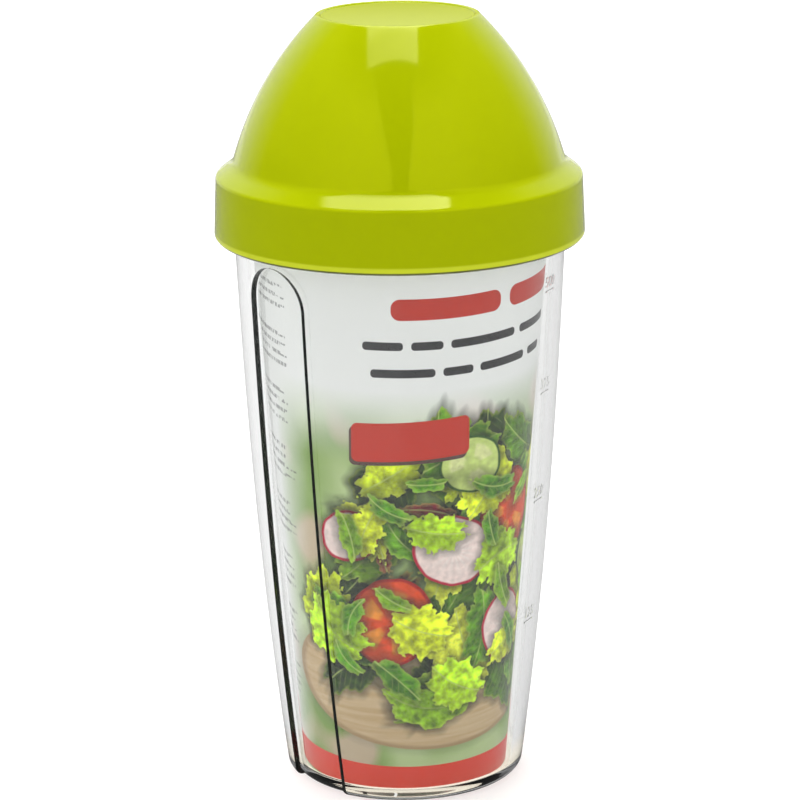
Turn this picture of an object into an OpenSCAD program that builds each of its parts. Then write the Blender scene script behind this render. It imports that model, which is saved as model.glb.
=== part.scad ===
// Salad dressing shaker bottle: a clear tapered beaker with two finger grips,
// a domed press-on lid with its sealing ring, a strainer in the mouth and a
// rolled card that lines the beaker. Millimetres, +Z up, the origin in the
// middle of the foot, the grips at +X and -X.

/* [Beaker] */
// Height of the beaker's rim above the table
beaker_h = 157; // [150:0.5:170]
// Diameter of the flank where it would meet the table
foot_d = 62.2; // [58:0.2:68]
// Diameter in which the slopes of the flank's two ends meet
belly_d = 79; // [76:0.5:81]
// Height at which the slopes of the flank's two ends meet
belly_z = 62; // [50:1:72]
// Wall thickness of the beaker
beaker_wall = 3; // [2.6:0.1:3.2]
// Thickness of the beaker's floor
floor_t = 3; // [2:0.2:5]
// Radius of the outer edge around the foot
foot_round = 2.6; // [1:0.2:3.4]
// Radius of the inner edge around the floor
floor_round = 1; // [0.4:0.2:1.2]
// Diameter of the hollow under the foot
hollow_d = 44; // [30:1:46]
// Depth of the hollow under the foot
hollow_depth = 0.8; // [0.4:0.1:1.6]

/* [Rim] */
// Width by which the collar that centres the lid stands out from the neck
collar_out = 2.5; // [1.5:0.1:3]
// Height of the collar, its lower slope included
collar_h = 7.6; // [6:0.2:9]
// Depth of the wider mouth, from the rim to the strainer's ledge
mouth_depth = 4.5; // [4:0.1:6]
// Width of the ledge that carries the strainer
ledge_w = 2.3; // [2:0.1:2.5]
// Bevel on the two edges of the rim
rim_bevel = 0.5; // [0.2:0.1:0.8]

/* [Finger grips] */
// Width of a grip at its round top
grip_w = 20.2; // [14:0.2:22]
// Width of a grip at the foot
grip_foot_w = 19.6; // [12:0.2:20]
// Depth of a grip below the flank
grip_depth = 1.5; // [1:0.1:1.8]
// Distance from the lid's lower edge down to the top of a grip
grip_drop = 3; // [0.4:0.2:12]

/* [Volume scale] */
// Volume between two marks, in millilitres
mark_ml = 125; // [100:25:250]
// Number of marks
mark_n = 4; // [1:1:4]
// Width of a mark along the wall
mark_w = 7; // [4:0.5:12]
// Thickness of a mark up the wall
mark_t = 0.8; // [0.5:0.1:1.5]
// Height by which a mark stands out
mark_raise = 0.4; // [0.2:0.1:0.8]
// Angle from the front to the middle of the marks
mark_angle = 24; // [0:1:40]

/* [Lid] */
// Height of the skirt, from its lower edge to the shoulder
skirt_h = 16.6; // [14:0.2:20]
// Largest diameter of the skirt, at its lower edge
skirt_d = 95.5; // [95:0.1:100]
// Amount by which the skirt's radius is less at the shoulder
skirt_draft = 0.6; // [0:0.1:0.8]
// Thickness of the skirt at its lower edge
skirt_wall = 1.85; // [1.6:0.05:2.4]
// Gap between the collar and the inside of the skirt
skirt_gap = 0.6; // [0.4:0.1:0.8]
// Wall thickness of the dome
lid_wall = 2.2; // [1.8:0.1:2.6]
// Thickness of the shoulder over the sealing ring
shoulder_t = 2; // [1.8:0.1:3]
// Slope of the shoulder in degrees
shoulder_slope = 31; // [20:1:36]
// Radius of the shoulder's outer edge
shoulder_round = 1.6; // [0.8:0.1:1.7]
// Radius of the hollow round between the shoulder and the dome
cove_r = 3.4; // [2:0.1:3.6]
// Width of the shoulder, from the top of the skirt to the foot of the dome
shoulder_w = 5.4; // [4.8:0.1:5.8]
// Height of the straight land between the cove and the dome
dome_land = 1.3; // [0.5:0.1:3]
// Diameter in which the slopes of the dome's two ends meet
dome_mid_d = 71; // [60:0.5:76]
// Height above the shoulder at which those slopes meet
dome_mid_h = 25.4; // [20:0.2:30]
// Diameter of the dome's upper edge
top_d = 42.4; // [30:0.2:50]
// Height of the dome's upper edge above the shoulder
dome_h = 39.7; // [34:0.1:50]
// Width of the rounded rim around the flat top
top_rim_w = 1.6; // [1:0.2:3]
// Height of that rim over the flat top
top_rim_h = 0.5; // [0.2:0.1:1]
// Radius of the skirt's outer lower edge
lip_round = 1.3; // [0.4:0.1:1.3]
// Wall thickness of the plug inside the mouth
plug_wall = 1.8; // [1.4:0.1:2.2]
// Gap between the plug and the mouth
plug_gap = 0.4; // [0.3:0.05:0.6]
// Gap between the plug's end and the strainer
plug_end_gap = 0.4; // [0.3:0.1:1]

/* [Sealing ring] */
// Height of the sealing ring
seal_h = 3; // [2:0.1:4]
// Width of the sealing ring
seal_w = 2.8; // [1.8:0.1:2.8]
// Gap between the sealing ring and the plug
seal_gap = 0.35; // [0.3:0.05:0.6]
// Bevel on the sealing ring's four edges
seal_bevel = 0.3; // [0.1:0.1:0.6]

/* [Strainer] */
// Thickness of the strainer's plate
plate_t = 1.6; // [1.2:0.1:2.4]
// Gap around the plate in the mouth
plate_gap = 0.3; // [0.3:0.05:0.6]
// Depth of the ring under the plate
ring_depth = 2.5; // [1.5:0.1:3.5]
// Wall thickness of the ring under the plate
ring_wall = 1.6; // [1.2:0.1:2.4]
// Gap around that ring in the neck
ring_gap = 0.35; // [0.3:0.05:0.6]
// Diameter of one strainer hole
hole_d = 4; // [2.5:0.5:5]
// Distance between the middles of neighbouring holes
hole_pitch = 7.2; // [6:0.2:10]
// Width of the pull tab
tab_w = 16; // [12:1:20]
// Height of the pull tab over the plate
tab_h = 11; // [9:1:16]
// Thickness of the pull tab
tab_t = 2.4; // [1.6:0.2:4]
// Diameter of the hole in the pull tab
tab_hole_d = 6; // [4:0.5:8]

/* [Card] */
// Thickness of the card
card_t = 0.6; // [0.4:0.1:0.8]
// Gap between the card's upper edge and the strainer's ring
card_top_gap = 1; // [0.5:0.1:5]
// Gap between the card and the beaker's wall
card_gap = 1.3; // [0.3:0.1:1.5]
// Width of the slit where the card's two ends meet
card_slit = 1; // [0.5:0.1:3]
// Angle from the front to the middle of the card's print
card_turn = -33; // [-90:1:90]

/* [Hidden] */
$fn = 128;
eps = 0.01;
flank_steps = 24;
dome_steps = 18;
arc_steps = 6;

foot_r = foot_d / 2;
belly_r = belly_d / 2;
neck_z = beaker_h - collar_h;
ledge_z = beaker_h - mouth_depth;

seat_z = beaker_h + seal_h;
shoulder_z = seat_z + shoulder_t;
lip_z = shoulder_z - skirt_h;
skirt_r = skirt_d / 2;
shoulder_r = skirt_r - skirt_draft;
skirt_in_r = skirt_r - skirt_wall;
dome_foot_r = shoulder_r - shoulder_w;
top_z = shoulder_z + dome_h;

collar_r = skirt_in_r - skirt_gap;
neck_r = collar_r - collar_out;
grip_top_z = lip_z - grip_drop;
in_neck_r = neck_r - beaker_wall;
mouth_r = in_neck_r + ledge_w;
plug_r = mouth_r - plug_gap;
plug_in_r = plug_r - plug_wall;
plug_z = ledge_z + plate_t + plug_end_gap;
seal_r = plug_r + seal_gap;
ring_r = in_neck_r - ring_gap;
card_top_z = ledge_z - ring_depth - card_top_gap;

// Point at share t of the curve from a to c that heads for b
function bend(a, b, c, t) = (1 - t) ^ 2 * a + 2 * t * (1 - t) * b + t ^ 2 * c;

// Direction of travel along that curve
function bend_way(a, b, c, t) = (1 - t) * (b - a) + t * (c - b);

// Point on a circle arc in the half section
function on_arc(mid, r, a) = mid + r * [cos(a), sin(a)];

// Arc from angle a0 to a1
function arc(mid, r, a0, a1) = [
    for (i = [0:arc_steps]) on_arc(mid, r, a0 + (a1 - a0) * i / arc_steps)
];

// Vector turned a quarter turn to the right and made one long
function to_right(v) = [v.y, -v.x] / norm(v);

function sum(v, i = 0) = i >= len(v) ? 0 : v[i] + sum(v, i + 1);

// Share of the flank's curve that lies below height z
function flank_share(z) = 2 * z / (2 * belly_z + sqrt(4 * belly_z ^ 2 + 4 * (neck_z - 2 * belly_z) * z));

// Outer radius of the flank at height z, upright above the neck
function flank_r(z) = z > neck_z ? neck_r : bend(foot_r, belly_r, neck_r, flank_share(z));

// Area of the hollow at height z
function hollow_area(z) = PI * (flank_r(z) - beaker_wall) ^ 2;

// Volume inside the beaker up to height z, in cubic millimetres
function volume(z, n = 40) = let (dz = (z - floor_t) / n)
    sum([for (i = [0:n - 1]) hollow_area(floor_t + (i + 0.5) * dz) * dz]);

// Height of the surface of a volume, found by halving the range
function level_z(ml, lo = floor_t, hi = ledge_z, n = 12) = let (mid = (lo + hi) / 2)
    n == 0 ? mid
    : volume(mid) < ml * 1000 ? level_z(ml, mid, hi, n - 1)
    : level_z(ml, lo, mid, n - 1);

// Flank points from height z0 to z1, moved inwards by d
function flank(z0, z1, d) = [
    for (i = [0:flank_steps]) let (z = z0 + (z1 - z0) * i / flank_steps) [flank_r(z) - d, z]
];

// Outside from the foot's rounded edge to the neck, moved inwards by d
function outside(d) =
    let (tilt = atan((flank_r(2 * foot_round) - flank_r(foot_round)) / foot_round))
    let (edge_mid = [flank_r(foot_round) - foot_round / cos(tilt) - d, foot_round])
    concat(arc(edge_mid, foot_round, -90, -tilt), flank(2 * foot_round, neck_z, d));

// Half section of the beaker's outside
module beaker_outline() {
    polygon(concat(
        [[0, hollow_depth], [hollow_d / 2, hollow_depth], [hollow_d / 2 + hollow_depth, 0]],
        outside(0),
        [
            [collar_r, neck_z + collar_out],
            [collar_r, beaker_h - rim_bevel],
            [collar_r - rim_bevel, beaker_h],
            [0, beaker_h]
        ]
    ));
}

// Half section of the hollow inside the beaker
module beaker_hollow_outline() {
    edge_r = flank_r(floor_t + floor_round) - beaker_wall - floor_round;
    polygon(concat(
        [[0, floor_t]],
        arc([edge_r, floor_t + floor_round], floor_round, -90, 0),
        flank(floor_t + 2 * floor_round, ledge_z, beaker_wall),
        [
            [mouth_r, ledge_z],
            [mouth_r, beaker_h - rim_bevel],
            [mouth_r + rim_bevel + eps, beaker_h + eps],
            [0, beaker_h + eps]
        ]
    ));
}

// Space of one grip at +X, as deep as the grip below the flank all over
module grip_space() {
    arch_r = grip_w / 2;
    foot_half = grip_foot_w / 2;
    arch_z = grip_top_z - arch_r;
    intersection() {
        rotate_extrude()
            polygon(concat(
                outside(grip_depth),
                [
                    [neck_r - grip_depth, neck_z + 1],
                    [collar_r, neck_z + 1],
                    [collar_r, -1],
                    [outside(grip_depth)[0].x, -1]
                ]
            ));
        rotate([90, 0, 90])
            linear_extrude(collar_r + 1) {
                translate([0, arch_z])
                    circle(r = arch_r);
                polygon([[-foot_half, -2], [foot_half, -2], [arch_r, arch_z], [-arch_r, arch_z]]);
            }
    }
}

// One raised mark of the volume scale
module mark(ml) {
    z = level_z(ml);
    span = mark_w / flank_r(z) * 180 / PI;
    rotate([0, 0, mark_angle - 90 - span / 2])
        rotate_extrude(angle = span)
            translate([flank_r(z) - beaker_wall / 2, z - mark_t / 2])
                square([beaker_wall / 2 + mark_raise, mark_t]);
}

module beaker() {
    color([0.86, 0.9, 0.9, 0.4]) {
        difference() {
            rotate_extrude() beaker_outline();
            rotate_extrude() beaker_hollow_outline();
            grip_space();
            mirror([1, 0, 0]) grip_space();
        }
        for (i = [1:mark_n]) mark(i * mark_ml);
    }
}

// Half section of the lid: the outside down to the lip, then the inside up
module lid_outline() {
    edge_mid = [shoulder_r - shoulder_round, shoulder_z - shoulder_round];
    edge_top = on_arc(edge_mid, shoulder_round, 90 - shoulder_slope);
    cove_x = dome_foot_r + cove_r;
    cove_foot_x = cove_x - cove_r * sin(shoulder_slope);
    cove_foot_z = edge_top.y + (edge_top.x - cove_foot_x) * tan(shoulder_slope);
    cove_mid = [cove_x, cove_foot_z + cove_r * cos(shoulder_slope)];
    dome_foot = [dome_foot_r, cove_mid.y + dome_land];
    dome_mid = [dome_mid_d / 2, shoulder_z + dome_mid_h];
    dome_top = [top_d / 2, top_z];
    rim_mid = [top_d / 2 - top_rim_w / 2, top_z];
    inner_top_z = top_z - lid_wall;
    inner_dome = [
        for (i = [0:dome_steps])
            let (t = i / dome_steps)
                bend(dome_foot, dome_mid, dome_top, t)
                + lid_wall * to_right(-bend_way(dome_foot, dome_mid, dome_top, t))
    ];
    polygon(concat(
        [[0, top_z]],
        [for (i = [arc_steps:-1:0])
            let (a = 180 * i / arc_steps)
                rim_mid + [top_rim_w / 2 * cos(a), top_rim_h * sin(a)]],
        [for (i = [dome_steps - 1:-1:0]) bend(dome_foot, dome_mid, dome_top, i / dome_steps)],
        arc(cove_mid, cove_r, 180, 270 - shoulder_slope),
        arc(edge_mid, shoulder_round, 90 - shoulder_slope, 0),
        arc([skirt_r - lip_round, lip_z + lip_round], lip_round, 0, -90),
        [
            [skirt_in_r, lip_z],
            [skirt_in_r, seat_z],
            [plug_r, seat_z],
            [plug_r, plug_z],
            [plug_in_r, plug_z],
            [plug_in_r, seat_z + shoulder_t]
        ],
        [for (p = inner_dome) if (p.y < inner_top_z) p],
        [[inner_dome[dome_steps].x, inner_top_z], [0, inner_top_z]]
    ));
}

module lid() {
    color([0.72, 0.78, 0.05])
        rotate_extrude() lid_outline();
}

module seal_ring() {
    color([0.93, 0.93, 0.9])
        rotate_extrude()
            translate([seal_r, beaker_h])
                polygon([
                    [seal_bevel, 0],
                    [seal_w - seal_bevel, 0],
                    [seal_w, seal_bevel],
                    [seal_w, seal_h - seal_bevel],
                    [seal_w - seal_bevel, seal_h],
                    [seal_bevel, seal_h],
                    [0, seal_h - seal_bevel],
                    [0, seal_bevel]
                ]);
}

// Rings of holes around the pull tab, as many as fit inside the ring
module strainer_holes() {
    first_r = tab_w / 2 + hole_d / 2 + 1;
    last_r = ring_r - ring_wall - hole_d / 2 - 1;
    rings = floor((last_r - first_r) / hole_pitch);
    for (k = [0:rings]) {
        r = first_r + k * hole_pitch;
        n = floor(2 * PI * r / hole_pitch);
        for (i = [0:n - 1])
            rotate([0, 0, 360 * i / n])
                translate([r, 0, ledge_z - 1])
                    cylinder(d = hole_d, h = plate_t + 2, $fn = 24);
    }
}

// Upright tab with a finger hole, its foot sunk into the plate
module pull_tab() {
    tab_r = tab_w / 2;
    translate([0, tab_t / 2, ledge_z + plate_t / 2])
        rotate([90, 0, 0])
            linear_extrude(tab_t)
                difference() {
                    union() {
                        translate([0, tab_h + plate_t / 2 - tab_r])
                            circle(r = tab_r);
                        translate([-tab_r, 0])
                            square([tab_w, tab_h + plate_t / 2 - tab_r]);
                    }
                    translate([0, tab_h + plate_t / 2 - tab_r])
                        circle(d = tab_hole_d);
                }
}

module strainer_insert() {
    color([0.9, 0.92, 0.9]) {
        difference() {
            rotate_extrude()
                polygon([
                    [0, ledge_z],
                    [ring_r - ring_wall, ledge_z],
                    [ring_r - ring_wall, ledge_z - ring_depth],
                    [ring_r, ledge_z - ring_depth],
                    [ring_r, ledge_z],
                    [mouth_r - plate_gap, ledge_z],
                    [mouth_r - plate_gap, ledge_z + plate_t],
                    [0, ledge_z + plate_t]
                ]);
            strainer_holes();
        }
        pull_tab();
    }
}

// Outer radius of the card at height z
function card_r(z) = flank_r(z) - beaker_wall - card_gap;

module card_insert() {
    color([0.9, 0.9, 0.88])
        difference() {
            rotate_extrude()
                polygon([
                    [card_r(floor_t) - card_t, floor_t],
                    [card_r(floor_t), floor_t],
                    [card_r(card_top_z), card_top_z],
                    [card_r(card_top_z) - card_t, card_top_z]
                ]);
            rotate([0, 0, card_turn + 180])
                translate([-card_slit / 2, -neck_r, floor_t - 1])
                    cube([card_slit, neck_r, card_top_z]);
        }
}

beaker();
lid();
seal_ring();
strainer_insert();
card_insert();
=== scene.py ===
"""Salad dressing shaker bottle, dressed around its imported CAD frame.

Sizes are in millimetres, and MM turns them into Blender's metres. The origin is
in the middle of the foot, +Z is up, and the finger grips face +X and -X.
"""

import logging
import math
from collections.abc import Sequence
from dataclasses import dataclass, field
from enum import Enum

import bpy
import numpy as np
from mathutils import Euler, Matrix, Vector

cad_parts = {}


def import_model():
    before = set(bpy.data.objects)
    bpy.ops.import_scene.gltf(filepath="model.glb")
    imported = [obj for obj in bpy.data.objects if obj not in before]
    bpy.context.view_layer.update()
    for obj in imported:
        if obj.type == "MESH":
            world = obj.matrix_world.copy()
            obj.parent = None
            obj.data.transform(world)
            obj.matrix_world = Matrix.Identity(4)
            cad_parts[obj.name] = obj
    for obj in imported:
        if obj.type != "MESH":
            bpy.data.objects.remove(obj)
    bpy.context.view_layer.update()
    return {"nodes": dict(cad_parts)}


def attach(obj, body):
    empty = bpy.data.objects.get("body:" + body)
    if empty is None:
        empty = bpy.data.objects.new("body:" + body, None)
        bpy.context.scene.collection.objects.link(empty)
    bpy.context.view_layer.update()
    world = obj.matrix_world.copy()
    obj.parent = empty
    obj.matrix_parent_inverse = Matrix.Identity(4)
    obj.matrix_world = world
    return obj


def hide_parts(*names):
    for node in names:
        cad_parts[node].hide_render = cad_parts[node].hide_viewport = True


MM = 0.001
LOG = logging.getLogger("shaker")

Point = tuple[float, float]
Colour = tuple[float, float, float]


class Body(Enum):
    """The CAD bodies that pieces ride on."""

    BEAKER = "beaker"
    LID = "lid"
    STRAINER = "strainer"
    CARD = "card"


class Slot(Enum):
    """The record's material slots."""

    CLEAR = "clear_plastic"
    LID = "lid_plastic"
    SEAL = "seal_rubber"
    STRAINER = "strainer_plastic"
    CARD = "printed_card"


def bend(a: Point, b: Point, c: Point, t: float) -> Point:
    """Finds a point on the curve from a to c that heads for b.

    Args:
        a: The curve's start.
        b: The point that both end slopes aim at.
        c: The curve's end.
        t: Share of the curve that is passed, 0 to 1.

    Returns:
        The point at that share.
    """
    p, q, r = (1 - t) ** 2, 2 * t * (1 - t), t * t
    return (p * a[0] + q * b[0] + r * c[0], p * a[1] + q * b[1] + r * c[1])


def arc(mid: Point, radius: float, start: float, end: float, steps: int) -> list[Point]:
    """Lists points along a circle arc of the half section.

    Args:
        mid: The circle's middle.
        radius: Its radius.
        start: First angle in degrees.
        end: Last angle in degrees.
        steps: Number of equal steps between them.

    Returns:
        The points, both ends included.
    """
    angles = [math.radians(start + (end - start) * i / steps) for i in range(steps + 1)]
    return [(mid[0] + radius * math.cos(a), mid[1] + radius * math.sin(a)) for a in angles]


def rounded(corner: Point, before: Point, after: Point, radius: float, steps: int = 3) -> list[Point]:
    """Rounds one corner of a half section.

    Args:
        corner: The sharp corner.
        before: The section's point before it.
        after: The section's point after it.
        radius: Distance from the corner at which the rounding starts.
        steps: Number of steps in the rounding.

    Returns:
        The points that take the corner's place.
    """
    c = Vector(corner)
    a = c + (Vector(before) - c).normalized() * radius
    b = c + (Vector(after) - c).normalized() * radius
    return [bend(tuple(a), corner, tuple(b), i / steps) for i in range(steps + 1)]


def deselect() -> None:
    """Leaves object mode with nothing selected."""
    if bpy.context.object and bpy.context.object.mode != "OBJECT":
        bpy.ops.object.mode_set(mode="OBJECT")
    bpy.ops.object.select_all(action="DESELECT")


def lathe(name: str, section: Sequence[Point], steps: int, turn: float = 360.0) -> bpy.types.Object:
    """Draws a half section point by point and spins it about the Z axis.

    Args:
        name: The piece's name.
        section: Points of the half section, as radius and height.
        steps: Number of steps in the spin.
        turn: Angle of the spin in degrees.

    Returns:
        The turned piece, its doubled points merged and its faces outwards.
    """
    deselect()
    bpy.ops.mesh.primitive_plane_add(size=MM)
    piece = bpy.context.object
    piece.name = piece.data.name = name
    bpy.ops.object.mode_set(mode="EDIT")
    bpy.ops.mesh.select_mode(type="VERT")
    bpy.ops.mesh.select_all(action="SELECT")
    bpy.ops.mesh.merge(type="CENTER")
    x, z = section[0]
    bpy.ops.transform.translate(value=(x * MM, 0, z * MM))
    for (x0, z0), (x1, z1) in zip(section, section[1:]):
        move = {"value": ((x1 - x0) * MM, 0, (z1 - z0) * MM)}
        bpy.ops.mesh.extrude_region_move(TRANSFORM_OT_translate=move)
    bpy.ops.mesh.select_all(action="SELECT")
    bpy.ops.mesh.spin(steps=steps, angle=math.radians(turn), center=(0, 0, 0), axis=(0, 0, 1))
    bpy.ops.mesh.select_all(action="SELECT")
    bpy.ops.mesh.remove_doubles(threshold=0.004 * MM)
    bpy.ops.mesh.normals_make_consistent(inside=False)
    bpy.ops.object.mode_set(mode="OBJECT")
    return piece


def smooth(piece: bpy.types.Object, angle: float = 40.0) -> None:
    """Shades a piece smooth, but for edges sharper than an angle in degrees."""
    deselect()
    bpy.context.view_layer.objects.active = piece
    piece.select_set(True)
    bpy.ops.object.shade_smooth_by_angle(angle=math.radians(angle))
    deselect()


def place(piece: bpy.types.Object, body: Body, slot: Slot, stands_for: str) -> None:
    """Seats a finished piece in the frame.

    Args:
        piece: The finished piece, its place in its mesh.
        body: The CAD body that it rides on.
        slot: The record's slot for its finish; not used.
        stands_for: The CAD node that it replaces.
    """
    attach(piece, body.value)
    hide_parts(stands_for)
    LOG.info("%s: %d faces, for %s", piece.name, len(piece.data.polygons), stands_for)


class Shader:
    """A material's node tree, with short calls to add nodes and join them."""

    def __init__(self, name: str) -> None:
        """Starts an empty material of that name."""
        self.material = bpy.data.materials.new(name)
        self.material.use_nodes = True
        self.tree = self.material.node_tree
        self.tree.nodes.clear()

    def node(self, kind: str, **settings: object) -> bpy.types.Node:
        """Adds a node.

        Args:
            kind: The node's type, without the ShaderNode prefix.
            settings: Its properties, such as an operation.

        Returns:
            The node.
        """
        made = self.tree.nodes.new(f"ShaderNode{kind}")
        for name, value in settings.items():
            setattr(made, name, value)
        return made

    def feed(self, node: bpy.types.Node, **inputs: object) -> bpy.types.Node:
        """Sets or joins a node's inputs.

        Args:
            node: The node.
            inputs: For each input a number, a colour or another node's socket. An
                underscore stands for a space, and i0, i1 and so on count inputs.

        Returns:
            The same node.
        """
        for name, value in inputs.items():
            key: int | str = int(name[1:]) if name[0] == "i" and name[1:].isdigit() else name.replace("_", " ")
            socket = node.inputs[key]
            if isinstance(value, bpy.types.NodeSocket):
                self.tree.links.new(value, socket)
            else:
                socket.default_value = value
        return node

    def math(self, operation: str, *values: object, clamp: bool = False) -> bpy.types.NodeSocket:
        """Adds a Math node on those values and gives its result."""
        made = self.node("Math", operation=operation, use_clamp=clamp)
        self.feed(made, **{f"i{i}": v for i, v in enumerate(values)})
        return made.outputs[0]

    def ramp(self, value: object, low: float, high: float, to_low: float, to_high: float) -> bpy.types.NodeSocket:
        """Maps a value from one range to another, held at both ends."""
        made = self.node("MapRange")
        self.feed(made, i0=value, i1=low, i2=high, i3=to_low, i4=to_high)
        return made.outputs[0]

    def mix(self, share: object, a: object, b: object) -> bpy.types.NodeSocket:
        """Mixes two colours and gives the result."""
        made = self.node("Mix", data_type="RGBA")
        self.feed(made, i0=share, i6=a, i7=b)
        return made.outputs[2]

    def noise(self, place: bpy.types.NodeSocket, scale: float, detail: float = 3.0) -> bpy.types.NodeSocket:
        """Adds a noise pattern, its scale in waves per metre, and gives its value."""
        made = self.node("TexNoise")
        self.feed(made, Vector=place, Scale=scale, Detail=detail)
        return made.outputs[0]

    def parts(self, vector: bpy.types.NodeSocket) -> Sequence[bpy.types.NodeSocket]:
        """Gives a vector's three parts."""
        return self.feed(self.node("SeparateXYZ"), i0=vector).outputs

    def scaled(self, colour: bpy.types.NodeSocket, by: object) -> bpy.types.NodeSocket:
        """Makes a colour brighter or darker by a factor."""
        return self.feed(self.node("VectorMath", operation="SCALE"), i0=colour, Scale=by).outputs[0]

    def bump(self, height: bpy.types.NodeSocket, depth: float) -> bpy.types.NodeSocket:
        """Turns a height into a normal, for relief of that depth in metres."""
        made = self.node("Bump")
        self.feed(made, Height=height, Strength=1.0, Distance=depth)
        return made.outputs[0]

    def finish(
        self, surface: bpy.types.NodeSocket, volume: bpy.types.NodeSocket | None = None
    ) -> bpy.types.Material:
        """Joins the surface and the volume to the output and gives the material."""
        out = self.feed(self.node("OutputMaterial"), Surface=surface)
        if volume:
            self.feed(out, Volume=volume)
        return self.material


class RoomShader(Shader):
    """A world's node tree, with the same short calls."""

    def __init__(self, name: str) -> None:
        """Starts an empty world of that name and makes it the scene's."""
        self.world = bpy.data.worlds.new(name)
        self.world.use_nodes = True
        self.tree = self.world.node_tree
        self.tree.nodes.clear()
        bpy.context.scene.world = self.world

    def along(self, way: Sequence[float]) -> bpy.types.NodeSocket:
        """Gives how far a ray's direction goes along a way."""
        dot = self.node("VectorMath", operation="DOT_PRODUCT")
        self.feed(dot, i0=self.node("TexCoord").outputs["Generated"], i1=way)
        return dot.outputs["Value"]


@dataclass(frozen=True)
class ClearPlastic:
    """Hard, clear plastic with a polished skin."""

    name: str = "clear_plastic"
    tint: Colour = (0.985, 0.99, 0.985)
    ior: float = 1.57
    roughness: float = 0.02
    murk: float = 16.0
    # Painted shade: near-black colour for the grip's side walls and foot corner, in place of the dark refraction there.
    step: Colour = (0.012, 0.014, 0.013)
    foot_z: float = 2.2
    # Painted glow: beige light given off by rays trapped in the walls for many bounces.
    trapped: Colour = (0.5, 0.46, 0.38)
    trapped_depth: int = 8

    def build(self) -> bpy.types.Material:
        """Makes the material. Rays from lamps pass it, so that what it holds is lit. The grip's walls get painted
        shade, and rays trapped deep in the walls get a painted glow.
        """
        s = Shader(self.name)
        place = s.node("TexCoord").outputs["Object"]
        cloud = s.noise(place, 60.0)
        skin = s.feed(
            s.node("BsdfPrincipled"),
            Base_Color=(*self.tint, 1),
            Roughness=s.ramp(cloud, 0.3, 0.7, self.roughness * 0.5, self.roughness * 1.5),
        )
        skin.inputs["Transmission Weight"].default_value = 1.0
        skin.inputs["IOR"].default_value = self.ior
        path = s.node("LightPath").outputs
        lamps = s.math("MAXIMUM", path["Is Shadow Ray"], path["Is Diffuse Ray"])
        open_way = s.feed(s.node("BsdfTransparent"), Color=(*self.tint, 1))
        # Painted shade: marked vertices get the near-black finish instead of clear plastic. The foot corner on the +X
        # side is left clear.
        step = s.math("GREATER_THAN", s.node("Attribute", attribute_name="step").outputs["Fac"], 0.98)
        x, _, z = s.parts(place)
        far_foot = s.math("MULTIPLY", s.math("GREATER_THAN", x, 0.0), s.math("LESS_THAN", z, self.foot_z * MM))
        step = s.math("MULTIPLY", step, s.math("SUBTRACT", 1.0, far_foot))
        dark = s.feed(s.node("BsdfPrincipled"), Base_Color=(*self.step, 1), Roughness=0.12)
        solid = s.feed(s.node("MixShader"), i0=step, i1=skin.outputs[0], i2=dark.outputs[0])
        both = s.feed(s.node("MixShader"), i0=lamps, i1=solid.outputs[0], i2=open_way.outputs[0])
        # Painted glow: rays deeper than trapped_depth glow beige instead of going dark.
        deep = s.math("GREATER_THAN", path["Ray Depth"], self.trapped_depth)
        rest = s.feed(s.node("Emission"), Color=(*self.trapped, 1), Strength=1.0)
        both = s.feed(s.node("MixShader"), i0=deep, i1=both.outputs[0], i2=rest.outputs[0])
        murk = s.feed(s.node("VolumeAbsorption"), Color=(0.5, 0.5, 0.5, 1), Density=2 * self.murk)
        return s.finish(both.outputs[0], murk.outputs[0])


@dataclass(frozen=True)
class GlossyPlastic:
    """Moulded plastic, coloured through, with a glossy or satin skin."""

    name: str
    colour: Colour
    shade: Colour
    roughness: float
    glow: float = 0.0
    coat: float = 0.0
    grain: float = 900.0
    grain_depth: float = 0.000004
    sheen_tint: Colour = (1.0, 1.0, 1.0)
    # Height band of the lower rim for the painted highlight and the painted shade below it.
    lip: Point = (-2.0, -1.0)
    lip_colour: Colour = (1.0, 1.0, 1.0)
    under_colour: Colour = (1.0, 1.0, 1.0)

    def build(self) -> bpy.types.Material:
        """Makes the material: slow colour drift, uneven gloss, a fine skin, and a painted highlight on the lip band
        with painted shade below it.
        """
        s = Shader(self.name)
        place = s.node("TexCoord").outputs["Object"]
        drift = s.noise(place, 25.0)
        fine = s.noise(place, self.grain, 2.0)
        base = s.mix(s.ramp(drift, 0.35, 0.65, 0.0, 1.0), (*self.colour, 1), (*self.shade, 1))
        # Painted highlight on the lip band, and painted shade under it.
        low, high = (z * MM for z in self.lip)
        z = s.parts(place)[2]
        base = s.mix(s.ramp(z, high - 0.0004, high, 1.0, 0.0), base, (*self.lip_colour, 1))
        base = s.mix(s.ramp(z, low - 0.0001, low, 1.0, 0.0), base, (*self.under_colour, 1))
        skin = s.feed(
            s.node("BsdfPrincipled"),
            Base_Color=base,
            Roughness=s.ramp(drift, 0.3, 0.7, self.roughness * 0.85, self.roughness * 1.15),
            Normal=s.bump(fine, self.grain_depth),
        )
        skin.inputs["Subsurface Weight"].default_value = self.glow
        skin.inputs["Subsurface Radius"].default_value = (0.004, 0.004, 0.001)
        skin.inputs["Subsurface Scale"].default_value = 1.0
        skin.inputs["Specular Tint"].default_value = (*self.sheen_tint, 1)
        skin.inputs["Coat Weight"].default_value = self.coat
        skin.inputs["Coat Roughness"].default_value = 0.04
        return s.finish(skin.outputs[0])


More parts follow.
